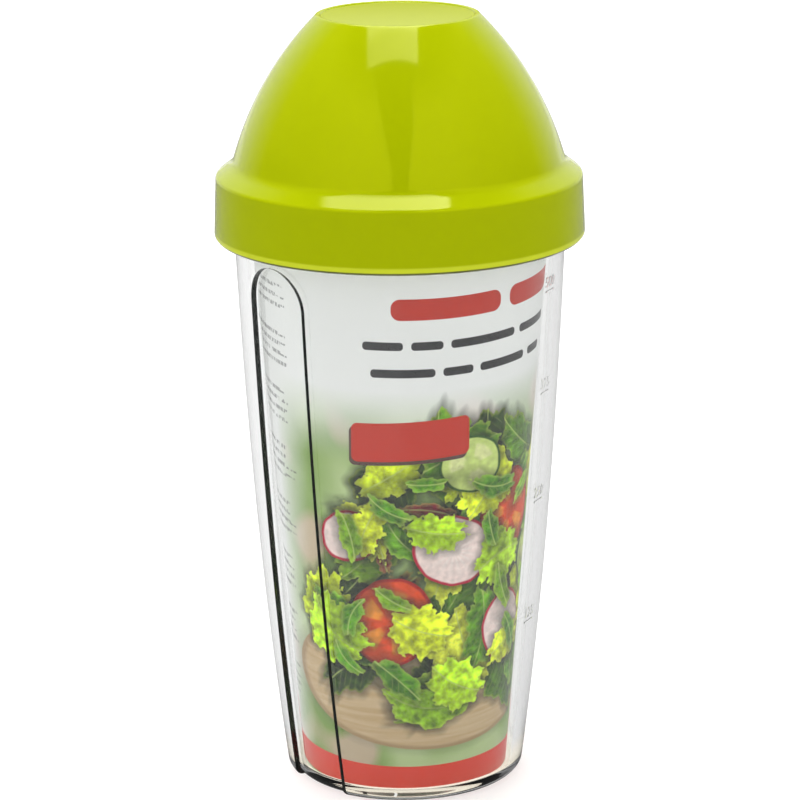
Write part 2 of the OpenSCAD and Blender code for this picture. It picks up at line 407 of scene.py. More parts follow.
@dataclass
class Lid:
    """The domed lid, one moulding with a skirt, a seat and a plug ring."""

    lip_z: float = 144.85
    seat_z: float = 160.0
    shoulder_z: float = 161.75
    top_z: float = 201.7
    skirt_r: float = 47.75
    skirt_in_r: float = 45.9
    shoulder_r: float = 47.15
    shoulder_round: float = 1.3
    shoulder_slope: float = 37.0
    cove_share: float = 0.32
    cove_steps: int = 16
    dome_foot: Point = (41.75, 167.77)
    dome_mid: Point = (35.5, 187.4)
    top_r: float = 21.2
    wall: float = 2.2
    rim_z: float = 202.2
    rim_round: float = 1.2
    rim_in: float = 0.7
    disc_sink: float = 0.3
    disc_crown: float = 0.22
    lip_round: float = 1.5
    plug_r: float = 41.7
    plug_wall: float = 1.8
    plug_z: float = 154.5
    steps: int = 224
    finish: GlossyPlastic = GlossyPlastic(
        "lid_plastic",
        (0.374, 0.443, 0.0),
        (0.364, 0.433, 0.0),
        0.065,
        glow=0.1,
        sheen_tint=(1.0, 0.95, 0.35),
        # Painted highlight on the lip's rounding and painted shade on its underside, for the light and the gap shadow
        # at the lower rim.
        lip=(145.7, 147.1),
        lip_colour=(0.56, 0.63, 0.03),
        under_colour=(0.1, 0.11, 0.03),
    )

    def section(self) -> list[Point]:
        """Lists the half section, from the middle of the top round to the inside."""
        edge_mid = (self.shoulder_r - self.shoulder_round, self.shoulder_z - self.shoulder_round)
        edge = arc(edge_mid, self.shoulder_round, 90 - self.shoulder_slope, 0, 8)
        foot = self.dome_foot
        slant = math.atan2(self.dome_mid[0] - self.top_r, self.top_z - self.dome_mid[1])
        rim_z = self.rim_z - self.rim_round
        rim_x = self.top_r + ((self.top_z - rim_z) * math.sin(slant) - self.rim_round) / math.cos(slant)
        rim_out = arc((rim_x, rim_z), self.rim_round, 90, 90 - math.degrees(math.pi / 2 - slant), 8)
        top = rim_out[-1]
        dome_steps = 40
        dome = [bend(foot, self.dome_mid, top, 1 - i / dome_steps) for i in range(dome_steps + 1)]
        cove = self.cove(edge[0])
        inner = []
        for i in range(dome_steps + 1):
            t = i / dome_steps
            p = bend(foot, self.dome_mid, top, t)
            dx = (1 - t) * (self.dome_mid[0] - foot[0]) + t * (top[0] - self.dome_mid[0])
            dz = (1 - t) * (self.dome_mid[1] - foot[1]) + t * (top[1] - self.dome_mid[1])
            away = math.hypot(dx, dz)
            inner.append((p[0] - self.wall * dz / away, p[1] + self.wall * dx / away))
        roof_z = self.top_z - self.wall
        inner = [p for p in inner if p[1] < roof_z - 0.6]
        disc_r, disc_z = rim_x - self.rim_in, self.rim_z - self.disc_sink
        disc = [(disc_r * i / 10, disc_z + self.disc_crown * (1 - (i / 10) ** 2)) for i in range(11)]
        rim_in = [
            (rim_x - self.rim_in * math.cos(a), disc_z + self.disc_sink * math.sin(a))
            for a in np.radians(np.linspace(0, 90, 7))
        ]
        lip_mid = (self.skirt_r - self.lip_round, self.lip_z + self.lip_round)
        plug_in_r = self.plug_r - self.plug_wall
        corner = (inner[-1][0] - 1.6, roof_z)
        return [
            *disc,
            *rim_in[1:],
            *rim_out[1:-1],
            *dome,
            *cove[1:],
            *edge[1:],
            *arc(lip_mid, self.lip_round, 0, -90, 8),
            *rounded((self.skirt_in_r, self.lip_z), lip_mid, (self.skirt_in_r, self.seat_z), 0.3),
            *rounded((self.skirt_in_r, self.seat_z), (self.skirt_in_r, self.lip_z), (0, self.seat_z), 0.4),
            *rounded((self.plug_r, self.seat_z), (self.skirt_in_r, self.seat_z), (self.plug_r, 0), 0.3),
            *rounded((self.plug_r, self.plug_z), (self.plug_r, self.seat_z), (0, self.plug_z), 0.4),
            *rounded((plug_in_r, self.plug_z), (self.plug_r, self.plug_z), (plug_in_r, 999), 0.4),
            (plug_in_r, self.seat_z + 2),
            *inner,
            *rounded(corner, inner[-1], (0, roof_z), 1.2, 5),
            (0, roof_z),
        ]

    def cove(self, end: Point) -> list[Point]:
        """Leads the dome's wall out to the shoulder in one hollow curve.

        Args:
            end: The shoulder's first point.

        Returns:
            The points from the dome's foot to the shoulder, both included.
        """
        foot, mid = self.dome_foot, self.dome_mid
        lean = (foot[0] - mid[0]) / (mid[1] - foot[1])
        rise = math.tan(math.radians(self.shoulder_slope))
        drop = (foot[1] - end[1] - (end[0] - foot[0]) * rise) / (1 - lean * rise)
        turn = (foot[0] + lean * drop, foot[1] - drop)
        start, stop = (
            tuple(t + self.cove_share * (p - t) for t, p in zip(turn, point)) for point in (foot, end)
        )
        sweep = [bend(start, turn, stop, i / self.cove_steps) for i in range(self.cove_steps + 1)]
        return [foot, *sweep, end]

    def make(self) -> None:
        """Builds, dresses and seats the lid."""
        piece = lathe("lid_dome", self.section(), self.steps)
        smooth(piece, 50)
        piece.data.materials.append(self.finish.build())
        place(piece, Body.LID, Slot.LID, "lid")


@dataclass
class SealRing:
    """The soft ring between the beaker's rim and the lid's seat."""

    inner_r: float = 42.05
    outer_r: float = 44.85
    low_z: float = 157.0
    high_z: float = 160.0
    round_r: float = 0.6
    finish: GlossyPlastic = GlossyPlastic(
        "seal_rubber", (0.78, 0.78, 0.74), (0.74, 0.74, 0.7), 0.5, glow=0.2, grain_depth=0.00002
    )

    def make(self) -> None:
        """Builds, dresses and seats the ring."""
        corners = [
            (self.inner_r, self.low_z),
            (self.outer_r, self.low_z),
            (self.outer_r, self.high_z),
            (self.inner_r, self.high_z),
        ]
        section: list[Point] = []
        for i, corner in enumerate(corners):
            section += rounded(corner, corners[i - 1], corners[(i + 1) % 4], self.round_r)
        piece = lathe("sealing_ring", [*section, section[0]], 160)
        smooth(piece, 60)
        piece.data.materials.append(self.finish.build())
        place(piece, Body.LID, Slot.SEAL, "seal_ring")


@dataclass
class Flank:
    """The beaker's flank, one slow curve from the foot to the neck."""

    foot_r: float = 31.1
    belly_r: float = 39.5
    belly_z: float = 62.0
    neck_r: float = 42.8
    neck_z: float = 149.4

    def radius(self, z: float) -> float:
        """Gives the flank's outer radius at a height."""
        if z > self.neck_z:
            return self.neck_r
        reach = self.neck_z - 2 * self.belly_z
        t = 2 * z / (2 * self.belly_z + math.sqrt(4 * self.belly_z**2 + 4 * reach * z))
        return bend((self.foot_r, 0), (self.belly_r, self.belly_z), (self.neck_r, self.neck_z), t)[0]


@dataclass(frozen=True)
class Arch:
    """Outline of a finger grip on one face of the beaker's wall."""

    foot_half: float
    top_half: float
    mid_z: float
    border_y: float
    border_z: float
    depth: float
    edge: float
    draft: float
    shift: float
    arc_rows: int = 40
    arc_side_rows: int = 18

    def half(self, z: float) -> float:
        """Gives half the grip's width at a height below the arch's middle."""
        return self.foot_half + (self.top_half - self.foot_half) * (z + 2) / (self.mid_z + 2)

    def steps(self) -> list[Point]:
        """Lists the grip's side across its outline, as distance outwards and depth."""
        turn = [math.radians(a) for a in (0, 18, 36, 54, 72, 90)]
        low = [(self.edge * (math.cos(a) - 1) - self.draft, self.depth - self.edge * (1 - math.sin(a))) for a in turn]
        high = [(self.edge * (1 - math.cos(a)), self.edge * (1 - math.sin(a))) for a in turn]
        return [*reversed(low), *high]


@dataclass(frozen=True)
class Row:
    """One level of a wall face: radius, height and share of the grip's depth."""

    r: float
    z: float
    share: float = 1.0


def sheet_of(name: str, points: np.ndarray, marked: np.ndarray | None = None) -> bpy.types.Object:
    """Adds a grid and lays its vertices at those points.

    Args:
        name: The sheet's name.
        points: Rows by columns by three, in millimetres.
        marked: For each row and column, whether it gets the painted shade of the attribute "step".

    Returns:
        The sheet.
    """
    rows, columns = points.shape[:2]
    deselect()
    bpy.ops.mesh.primitive_grid_add(x_subdivisions=columns - 1, y_subdivisions=rows - 1, size=1)
    piece = bpy.context.object
    piece.name = piece.data.name = name
    flat = np.zeros(len(piece.data.vertices) * 3)
    piece.data.vertices.foreach_get("co", flat)
    flat = flat.reshape(-1, 3) + 0.5
    column = np.rint(flat[:, 0] * (columns - 1)).astype(int)
    row = np.rint(flat[:, 1] * (rows - 1)).astype(int)
    piece.data.vertices.foreach_set("co", (points[row, column] * MM).ravel())
    if marked is not None:
        step = piece.data.attributes.new("step", "FLOAT", "POINT")
        step.data.foreach_set("value", marked[row, column].astype(float))
    return piece


def join(pieces: Sequence[bpy.types.Object]) -> bpy.types.Object:
    """Joins pieces into the first one and gives it."""
    deselect()
    for piece in pieces:
        piece.select_set(True)
    bpy.context.view_layer.objects.active = pieces[0]
    if len(pieces) > 1:
        bpy.ops.object.join()
    return pieces[0]


def weld(piece: bpy.types.Object, reach: float = 0.004) -> None:
    """Merges a piece's doubled vertices and turns its faces outwards.

    Args:
        piece: The piece.
        reach: Distance in millimetres up to which vertices merge.
    """
    join([piece])
    bpy.ops.object.mode_set(mode="EDIT")
    bpy.ops.mesh.select_all(action="SELECT")
    bpy.ops.mesh.remove_doubles(threshold=reach * MM)
    bpy.ops.mesh.normals_make_consistent(inside=False)
    bpy.ops.object.mode_set(mode="OBJECT")


def apply(piece: bpy.types.Object, kind: str, **settings: object) -> None:
    """Adds a modifier to a piece and applies it.

    Args:
        piece: The piece.
        kind: The modifier's type.
        settings: Its properties.
    """
    join([piece])
    made = piece.modifiers.new(kind.lower(), kind)
    for name, value in settings.items():
        setattr(made, name, value)
    bpy.ops.object.modifier_apply(modifier=made.name)


@dataclass
class Beaker:
    """The clear beaker: flank, foot, collar, mouth, grips and volume scale."""

    flank: Flank = field(default_factory=Flank)
    height: float = 157.0
    wall: float = 3.0
    floor: float = 3.0
    foot_round: float = 2.6
    floor_round: float = 1.0
    hollow_r: float = 22.0
    hollow_depth: float = 0.8
    collar_r: float = 45.3
    rim_bevel: float = 0.5
    ledge_z: float = 152.5
    mouth_r: float = 42.1
    side_columns: int = 44
    inside_columns: int = 10
    outside_columns: int = 12
    flank_rows: int = 48
    # Heights of the foot corner whose grip vertices get painted shade.
    dark_foot: Point = (0.2, 2.0)
    scale_angle: float = 24.0
    levels: tuple[tuple[int, float], ...] = ((125, 44.6), (250, 77.9), (375, 107.1), (500, 134.0))
    outer: Arch = Arch(9.8, 10.1, 132.3, 14.0, 145.5, 1.5, 0.06, 0.0, 0.0)
    inner: Arch = Arch(9.8, 10.1, 132.3, 14.0, 145.5, 0.0, 0.0, 0.0, 3.0)
    finish: ClearPlastic = ClearPlastic()

    def outer_rows(self) -> list[Row]:
        """Lists the outside's levels from under the foot up to the arch's middle."""
        r1, r2 = self.flank.radius(self.foot_round), self.flank.radius(2 * self.foot_round)
        tilt = math.degrees(math.atan((r2 - r1) / self.foot_round))
        mid = (r1 - self.foot_round / math.cos(math.radians(tilt)), self.foot_round)
        foot = arc(mid, self.foot_round, -90, -tilt, 10)
        inner_r = self.hollow_r + self.hollow_depth
        heights = np.linspace(2 * self.foot_round, self.outer.mid_z, self.flank_rows)
        return [
            Row(0, self.hollow_depth, 0),
            Row(self.hollow_r, self.hollow_depth, 0),
            Row(inner_r, 0, 0),
            Row(inner_r + 1.2, 0, 0),
            *[Row(r, z) for r, z in foot],
            *[Row(self.flank.radius(z), z) for z in heights],
        ]

    def inner_rows(self) -> list[Row]:
        """Lists the hollow's levels from its floor up to the arch's middle."""
        low = self.floor + self.floor_round
        edge = self.flank.radius(low) - self.wall - self.floor_round
        heights = np.linspace(self.floor + 2 * self.floor_round, self.inner.mid_z, self.flank_rows)
        return [
            Row(0, self.floor, 0),
            Row(20, self.floor, 0),
            Row(24, self.floor, 0),
            *[Row(r, z) for r, z in arc((edge, low), self.floor_round, -90, 0, 6)],
            *[Row(self.flank.radius(z) - self.wall, z) for z in heights],
        ]

    def outer_rim(self) -> list[Point]:
        """Lists the half section from the arches' border up to the middle of the rim."""
        neck_r, neck_z = self.flank.neck_r, self.flank.neck_z
        bevel_z = neck_z + self.collar_r - neck_r
        top = (self.collar_r, self.height)
        return [
            (self.flank.radius(self.outer.border_z), self.outer.border_z),
            (self.flank.radius(148.4), 148.4),
            *rounded((neck_r, neck_z), (neck_r, 0), (self.collar_r, bevel_z), 0.3),
            *rounded((self.collar_r, bevel_z), (neck_r, neck_z), top, 0.3),
            *rounded(top, (self.collar_r, bevel_z), (0, self.height), self.rim_bevel, 4),
            ((self.collar_r + self.mouth_r) / 2, self.height),
        ]

    def inner_rim(self) -> list[Point]:
        """Lists the half section from the backs' border up to the middle of the rim."""
        in_r = self.flank.neck_r - self.wall
        ledge, foot = (in_r, self.ledge_z), (self.mouth_r, self.ledge_z)
        top = (self.mouth_r, self.height)
        return [
            (self.flank.radius(self.inner.border_z) - self.wall, self.inner.border_z),
            (in_r, self.flank.neck_z),
            *rounded(ledge, (in_r, 0), foot, 0.2),
            *rounded(foot, ledge, top, 0.2),
            *rounded(top, foot, (99, self.height), self.rim_bevel, 4),
            ((self.collar_r + self.mouth_r) / 2, self.height),
        ]

    def face(self, name: str, arch: Arch, rows: list[Row], rim: list[Point]) -> list[bpy.types.Object]:
        """Builds a quarter of one face of the wall, from a grip's middle to the front.

        Args:
            name: Start of the sheets' names.
            arch: The grip's outline on this face.
            rows: Levels below the arch's middle.
            rim: Half section above the arch's border.

        Returns:
            The sheets.
        """
        steps = arch.steps()
        fan = np.linspace(0, 1, self.outside_columns + 1)[1:] ** 1.5
        low, high = steps[0], steps[-1]
        grid: list[list[tuple[float, float, float]]] = []
        borders: list[tuple[float, float]] = []

        def seat(r: float, y: float, z: float) -> tuple[float, float, float]:
            return (math.sqrt(max(r * r - y * y, 0)), y, z)

        base_r = next(row.r for row in rows if row.r > 19)
        for row in rows:
            half = arch.half(max(row.z, 0))
            ys = [(y, arch.depth) for y in np.linspace(0, half + low[0], self.inside_columns + 1)[:-1]]
            ys += [(half + t, d) for t, d in steps]
            ys += [(half + high[0] + (arch.border_y - half - high[0]) * s, 0.0) for s in fan]
            line = []
            for y, d in ys:
                if row.r < base_r:
                    a = math.asin(y / base_r)
                    line.append((row.r * math.cos(a), row.r * math.sin(a), row.z))
                else:
                    line.append(seat(row.r - d * row.share, y, row.z))
            grid.append(line)
            borders.append((row.r, row.z))
        for i in range(1, arch.arc_rows + 1):
            turn = math.pi / 2 * i / arch.arc_rows
            c, s = math.cos(turn), math.sin(turn)
            if i <= arch.arc_side_rows:
                end = (arch.border_y, arch.mid_z + (arch.border_z - arch.mid_z) * i / arch.arc_side_rows)
                borders.append((self.flank.radius(end[1]) - arch.shift, end[1]))
            else:
                left = (i - arch.arc_side_rows) / (arch.arc_rows - arch.arc_side_rows)
                end = (arch.border_y * (1 - left), arch.border_z)
            reach = arch.top_half + low[0]
            places = [
                (y, arch.mid_z + reach * s, arch.depth)
                for y in np.linspace(0, reach * c, self.inside_columns + 1)[:-1]
            ]
            places += [((arch.top_half + t) * c, arch.mid_z + (arch.top_half + t) * s, d) for t, d in steps]
            start = places[-1]
            places += [(start[0] + (end[0] - start[0]) * f, start[1] + (end[1] - start[1]) * f, 0.0) for f in fan]
            grid.append([seat(self.flank.radius(z) - arch.shift - d, y, z) for y, z, d in places])
        side = []
        for r, z in borders:
            start = math.asin(arch.border_y / max(r, base_r))
            angles = np.linspace(start, math.pi / 2, self.side_columns + 1)
            side.append([(r * math.cos(a), r * math.sin(a), z) for a in angles])
        across = arch.arc_rows - arch.arc_side_rows
        rim_r = rim[-1][0]

        def spread(r: float) -> np.ndarray:
            near = [math.asin(arch.border_y * k / across / r) for k in range(across + 1)]
            return np.array([*near, *np.linspace(near[-1], math.pi / 2, self.side_columns + 1)[1:]])

        own, shared = spread(rim[0][0]), spread(rim_r)
        top = []
        for k, (r, z) in enumerate(rim):
            share = k / (len(rim) - 1)
            top.append([(r * math.cos(a), r * math.sin(a), z) for a in own * (1 - share) + shared * share])
        grip = np.array(grid)
        wall = None
        if arch.depth:
            # Marks the grip's side walls, and the foot corner inside the grip, for painted shade.
            row, column = np.indices(grip.shape[:2])
            wall = (column >= self.inside_columns) & (column < self.inside_columns + len(steps))
            corner = (grip[..., 2] > self.dark_foot[0]) & (grip[..., 2] < self.dark_foot[1])
            wall |= corner & (column < self.inside_columns + len(steps))
        return [
            sheet_of(f"{name}_grip", grip, wall),
            sheet_of(f"{name}_side", np.array(side)),
            sheet_of(f"{name}_rim", np.array(top)),
        ]

    def wrap(self, piece: bpy.types.Object, z: float) -> None:
        """Lays a flat mark on the flank, its X across, its Y up and its Z outwards.

        Args:
            piece: The mark, made flat about the origin.
            z: Height of its middle.
        """
        flat = np.zeros(len(piece.data.vertices) * 3)
        piece.data.vertices.foreach_get("co", flat)
        flat = flat.reshape(-1, 3) / MM
        heights = z + flat[:, 1]
        r = np.array([self.flank.radius(h) for h in heights]) + flat[:, 2]
        way = math.radians(self.scale_angle) + flat[:, 0] / self.flank.radius(z)
        placed = np.stack([r * np.sin(way), -r * np.cos(way), heights], 1) * MM
        piece.data.vertices.foreach_set("co", placed.ravel())

    def tick(self, z: float) -> bpy.types.Object:
        """Builds one raised line of the scale.

        Args:
            z: Its height.

        Returns:
            The line, laid on the flank.
        """
        deselect()
        bpy.ops.mesh.primitive_cube_add(size=1, scale=(5 * MM, 0.5 * MM, 0.1 * MM))
        piece = bpy.context.object
        bpy.ops.object.mode_set(mode="EDIT")
        bpy.ops.mesh.bevel(offset=0.04 * MM, segments=2, affect="EDGES")
        for k in range(-6, 7):
            bpy.ops.mesh.select_all(action="SELECT")
            bpy.ops.mesh.bisect(plane_co=(k * 0.5 * MM, 0, 0), plane_no=(1, 0, 0))
        bpy.ops.object.mode_set(mode="OBJECT")
        self.wrap(piece, z)
        return piece

    def numeral(self, number: int, z: float) -> bpy.types.Object:
        """Builds the raised number over a line of the scale.

        Args:
            number: The volume in millilitres.
            z: The line's height.

        Returns:
            The number, laid on the flank.
        """
        deselect()
        bpy.ops.object.text_add()
        text = bpy.context.object
        text.data.body = str(number)
        text.data.size = 3.8 * MM
        text.data.align_x = "CENTER"
        text.data.extrude = 0.03 * MM
        text.data.bevel_depth = 0.02 * MM
        text.data.resolution_u = 6
        bpy.ops.object.convert(target="MESH")
        piece = bpy.context.object
        bpy.ops.object.mode_set(mode="EDIT")
        bpy.ops.mesh.select_all(action="SELECT")
        bpy.ops.mesh.remove_doubles(threshold=0.002 * MM)
        bpy.ops.transform.translate(value=(0, 1.2 * MM, 0))
        bpy.ops.object.mode_set(mode="OBJECT")
        self.wrap(piece, z)
        return piece

    def make(self) -> None:
        """Builds, dresses and seats the beaker."""
        sheets = self.face("outside", self.outer, self.outer_rows(), self.outer_rim())
        sheets += self.face("inside", self.inner, self.inner_rows(), self.inner_rim())
        piece = join(sheets)
        piece.name = piece.data.name = "clear_beaker"
        apply(piece, "MIRROR", use_axis=(True, True, False), merge_threshold=0.003 * MM)
        weld(piece)
        marks = [self.tick(z) for _, z in self.levels]
        marks += [self.numeral(number, z) for number, z in self.levels]
        piece = join([piece, *marks])
        smooth(piece, 50)
        piece.data.materials.clear()
        piece.data.materials.append(self.finish.build())
        place(piece, Body.BEAKER, Slot.CLEAR, "beaker")


@dataclass(frozen=True)
class Leaves:
    """One layer of printed leaves that don't touch each other."""

    name: str
    tries: int
    middle: Point
    spread: Point
    sizes: Point
    slender: Point
    tints: tuple[Colour, ...]
    lobes: int = 7
    frill: float = 0.9
    ruffle: float = 0.5
    gap: float = 1.2

    def lay(self, x: np.ndarray, y: np.ndarray, rng: np.random.Generator) -> tuple[np.ndarray, np.ndarray]:
        """Strews the leaves over the sheet.

        Args:
            x: Flat place across of each point, in millimetres.
            y: Flat place up of each point.
            rng: The random draws.

        Returns:
            For each point its place along and across the nearest leaf with its distance
            outside that leaf's edge, and the leaf's tint.
        """
        near = np.full((len(x), 3), 50.0)
        tint = np.zeros((len(x), 3))
        laid: list[tuple[float, float, float]] = []
        for _ in range(self.tries):
            cx = self.middle[0] + self.spread[0] * rng.uniform(-1, 1)
            cy = self.middle[1] + self.spread[1] * rng.uniform(-1, 1)
            size = rng.uniform(*self.sizes)
            thin = rng.uniform(*self.slender)
            turn, phase, glow = rng.uniform(0, 2 * math.pi), rng.uniform(0, 6.28), rng.uniform(0.75, 1.2)
            base = np.array(self.tints[rng.integers(len(self.tints))]) * glow
            off = math.hypot((cx - self.middle[0]) / self.spread[0], (cy - self.middle[1]) / self.spread[1])
            reach = size * (0.55 + 0.45 * thin)
            if off > 1 or any(math.hypot(cx - a, cy - b) < reach + c + self.gap for a, b, c in laid):
                continue
            laid.append((cx, cy, reach))
            u = (x - cx) * math.cos(turn) + (y - cy) * math.sin(turn)
            v = -(x - cx) * math.sin(turn) + (y - cy) * math.cos(turn)
            v = v + 0.25 * size * ((u / size) ** 2 - 0.4) * math.sin(phase)
            around = np.arctan2(v / thin, u)
            pull = 1 + 0.11 * np.sin(self.lobes * around + phase) + 0.05 * np.sin(2.7 * self.lobes * around)
            d = (np.hypot(u / size, v / (size * thin)) - pull) * size * thin
            nearer = d < near[:, 2]
            near[nearer] = np.stack([u, v, d], 1)[nearer]
            tint[nearer] = base
        return near, tint


@dataclass(frozen=True)
class Slices:
    """One layer of printed round slices that don't touch each other."""

    name: str
    spots: tuple[tuple[float, float, float], ...]
    flesh: Colour
    heart: Colour
    rim: Colour
    rim_w: float
    chambers: int
    squash: float = 0.86

    def lay(self, x: np.ndarray, y: np.ndarray, rng: np.random.Generator) -> np.ndarray:
        """Lays the slices on the sheet.

        Args:
            x: Flat place across of each point, in millimetres.
            y: Flat place up of each point.
            rng: The random draws.

        Returns:
            For each point its place on the nearest slice as shares of the radius, and its
            distance outside that slice's edge.
        """
        near = np.full((len(x), 3), 50.0)
        for cx, cy, size in self.spots:
            turn = rng.uniform(0, math.pi)
            u = (x - cx) * math.cos(turn) + (y - cy) * math.sin(turn)
            v = (-(x - cx) * math.sin(turn) + (y - cy) * math.cos(turn)) / self.squash
            d = np.hypot(u, v) - size
            nearer = d < near[:, 2]
            near[nearer] = np.stack([u / size, v / size, d], 1)[nearer]
        return near


@dataclass
class Card:
    """The rolled card, a cone that lines the beaker, and its generic print."""

    flank: Flank = field(default_factory=Flank)
    low_z: float = 3.0
    high_z: float = 149.0
    inset: float = 4.3
    thick: float = 0.6
    slit: float = 1.0
    turn: float = -33.0
    columns: int = 270
    rows: int = 176
    seed: int = 11
    paper: Colour = (0.955, 0.965, 0.955)
    band_red: Colour = (0.84, 0.035, 0.006)
    tag_red: Colour = (0.6, 0.025, 0.006)
    depth: float = 1.3
    ink: Colour = (0.03, 0.03, 0.033)
    layers: tuple[Leaves | Slices, ...] = (
        Leaves("under", 400, (12, 58), (38, 37), (8, 13), (0.55, 0.85), ((0.03, 0.07, 0.005), (0.06, 0.13, 0.01))),
        Leaves("broad", 400, (14, 60), (37, 36), (9, 14), (0.5, 0.8), ((0.16, 0.34, 0.01), (0.24, 0.42, 0.015))),
        Leaves("wine", 90, (18, 62), (30, 28), (7, 12), (0.22, 0.36), ((0.1, 0.006, 0.02), (0.3, 0.012, 0.05))),
        Leaves("pale", 400, (12, 58), (38, 36), (8, 13), (0.55, 0.9), ((0.66, 0.78, 0.02), (0.72, 0.78, 0.08)), 9, 1.4),
        Leaves("fresh", 60, (14, 58), (38, 36), (8, 12), (0.4, 0.65), ((0.2, 0.45, 0.01), (0.36, 0.6, 0.02))),
        Slices("tomato", ((27, 73, 12), (-7, 47, 12.5)), (0.85, 0.13, 0.01), (0.92, 0.4, 0.05), (0.5, 0.015, 0.005), 1.1, 5),
        Slices("radish", ((9, 66, 11), (-18, 70, 8), (26, 41, 10)), (0.94, 0.8, 0.76), (0.97, 0.9, 0.86), (0.6, 0.01, 0.08), 1.0, 0),
        Leaves("frilly", 60, (12, 56), (38, 36), (7, 10), (0.6, 0.95), ((0.78, 0.88, 0.03), (0.52, 0.76, 0.02)), 9, 1.6),
        Slices("cucumber", ((40, 58, 9), (14, 89, 9)), (0.68, 0.8, 0.3), (0.82, 0.87, 0.46), (0.05, 0.16, 0.005), 0.9, 3),
        Leaves("herbs", 36, (10, 56), (38, 35), (5, 8), (0.35, 0.5), ((0.14, 0.36, 0.01), (0.3, 0.54, 0.015)), 5, 0.7),
    )

    def make(self) -> None:
        """Builds, prints and seats the card."""
        deselect()
        bpy.ops.mesh.primitive_grid_add(x_subdivisions=self.columns, y_subdivisions=self.rows, size=1)
        piece = bpy.context.object
        piece.name = piece.data.name = "rolled_card"
        flat = np.zeros(len(piece.data.vertices) * 3)
        piece.data.vertices.foreach_get("co", flat)
        across, up = flat.reshape(-1, 3)[:, 0], flat.reshape(-1, 3)[:, 1] + 0.5
        low_r = self.flank.radius(self.low_z) - self.inset
        high_r = self.flank.radius(self.high_z) - self.inset
        z = self.low_z + up * (self.high_z - self.low_z)
        r = low_r + up * (high_r - low_r)
        gap = self.slit / r
        angle = across * (2 * math.pi - gap)
        way = math.radians(self.turn) + angle
        shaped = np.stack([r * np.sin(way), -r * np.cos(way), z], 1) * MM
        piece.data.vertices.foreach_set("co", shaped.ravel())
        lean = math.sin(math.atan2(high_r - low_r, self.high_z - self.low_z))
        x = r / lean * np.sin(angle * lean)
        y = r / lean * np.cos(angle * lean) - low_r / lean
        self.lay_print(piece, x, y)
        apply(piece, "SOLIDIFY", thickness=self.thick * MM, offset=-1)
        smooth(piece, 60)
        piece.data.materials.append(self.dress())
        place(piece, Body.CARD, Slot.CARD, "card_insert")

    def lay_print(self, piece: bpy.types.Object, x: np.ndarray, y: np.ndarray) -> None:
        """Stores each point's place on the flat sheet and on the shapes of each printed layer.

        Args:
            piece: The card.
            x: Flat place across, from the middle of the print.
            y: Flat place up, from the lower edge's middle.
        """

        def keep(name: str, kind: str, field_name: str, values: np.ndarray) -> None:
            made = piece.data.attributes.new(name, kind, "POINT")
            made.data.foreach_set(field_name, values.ravel())

        keep("sheet", "FLOAT_VECTOR", "vector", np.stack([x, y, np.zeros(len(x))], 1))
        for i, layer in enumerate(self.layers):
            rng = np.random.default_rng(self.seed + i)
            if isinstance(layer, Leaves):
                near, tint = layer.lay(x, y, rng)
                keep(f"{layer.name}_tint", "FLOAT_VECTOR", "vector", tint)
            else:
                near = layer.lay(x, y, rng)
            keep(f"{layer.name}_near", "FLOAT_VECTOR", "vector", near)

    def dress(self) -> bpy.types.Material:
        """Makes the card's finish: the print, a faint fibre and a satin varnish."""
        s = Shader("printed_card")
        sheet = s.node("Attribute", attribute_name="sheet").outputs["Vector"]
        place = s.parts(sheet)
        under = self.ground(s, sheet, place[0], place[1])
        for layer in self.layers:
            near = s.parts(s.node("Attribute", attribute_name=f"{layer.name}_near").outputs["Vector"])
            shadow = s.ramp(near[2], -0.3, 2.4, 0.62, 0.0)
            under = s.mix(shadow, under, (0.012, 0.02, 0.005, 1))
            if isinstance(layer, Leaves):
                under = self.leaf(s, sheet, near, layer, under)
            else:
                under = self.slice(s, sheet, near, layer, under)
        under = s.feed(s.node("Gamma"), Color=under, Gamma=self.depth).outputs[0]
        base = self.bars(s, sheet, place[0], place[1], under)
        fibre = s.noise(s.node("TexCoord").outputs["Object"], 1500.0, 4.0)
        skin = s.feed(
            s.node("BsdfPrincipled"),
            Base_Color=base,
            Roughness=s.ramp(fibre, 0.3, 0.7, 0.45, 0.55),
            Specular_IOR_Level=0.2,
            Normal=s.bump(fibre, 0.000006),
        )
        return s.finish(skin.outputs[0])

    def ground(
        self, s: Shader, sheet: bpy.types.NodeSocket, x: bpy.types.NodeSocket, y: bpy.types.NodeSocket
    ) -> bpy.types.NodeSocket:
        """Colours the bare paper, the picture's soft ground and an oval board."""
        cloud = s.noise(sheet, 0.04, 1.0)
        soft = s.mix(s.ramp(cloud, 0.4, 0.58, 0.0, 1.0), (0.6, 0.72, 0.4, 1), (0.3, 0.46, 0.12, 1))
        soft = s.mix(s.ramp(s.noise(sheet, 0.055, 0.0), 0.56, 0.68, 0.0, 0.7), soft, (0.84, 0.62, 0.55, 1))
        fade = s.math("MULTIPLY", s.ramp(y, 90, 110, 1.0, 0.0), s.ramp(x, -44, -30, 0.0, 1.0))
        out = s.mix(fade, (*self.paper, 1), soft)
        off = s.math(
            "SQRT",
            s.math(
                "ADD",
                s.math("POWER", s.math("DIVIDE", s.math("SUBTRACT", x, 6.0), 42.0), 2.0),
                s.math("POWER", s.math("DIVIDE", s.math("SUBTRACT", y, 30.0), 19.0), 2.0),
            ),
        )
        grain = s.noise(self.stretched(s, sheet, (0.05, 0.9, 1.0)), 1.0, 3.0)
        wood = s.mix(s.ramp(grain, 0.35, 0.65, 0.0, 1.0), (0.66, 0.5, 0.3, 1), (0.74, 0.6, 0.4, 1))
        wood = s.mix(s.ramp(off, 0.93, 0.97, 0.0, 0.5), wood, (0.35, 0.22, 0.1, 1))
        out = s.mix(s.ramp(off, 1.0, 1.12, 0.3, 0.0), out, (0.2, 0.18, 0.14, 1))
        return s.mix(s.ramp(off, 1.0, 1.005, 1.0, 0.0), out, wood)

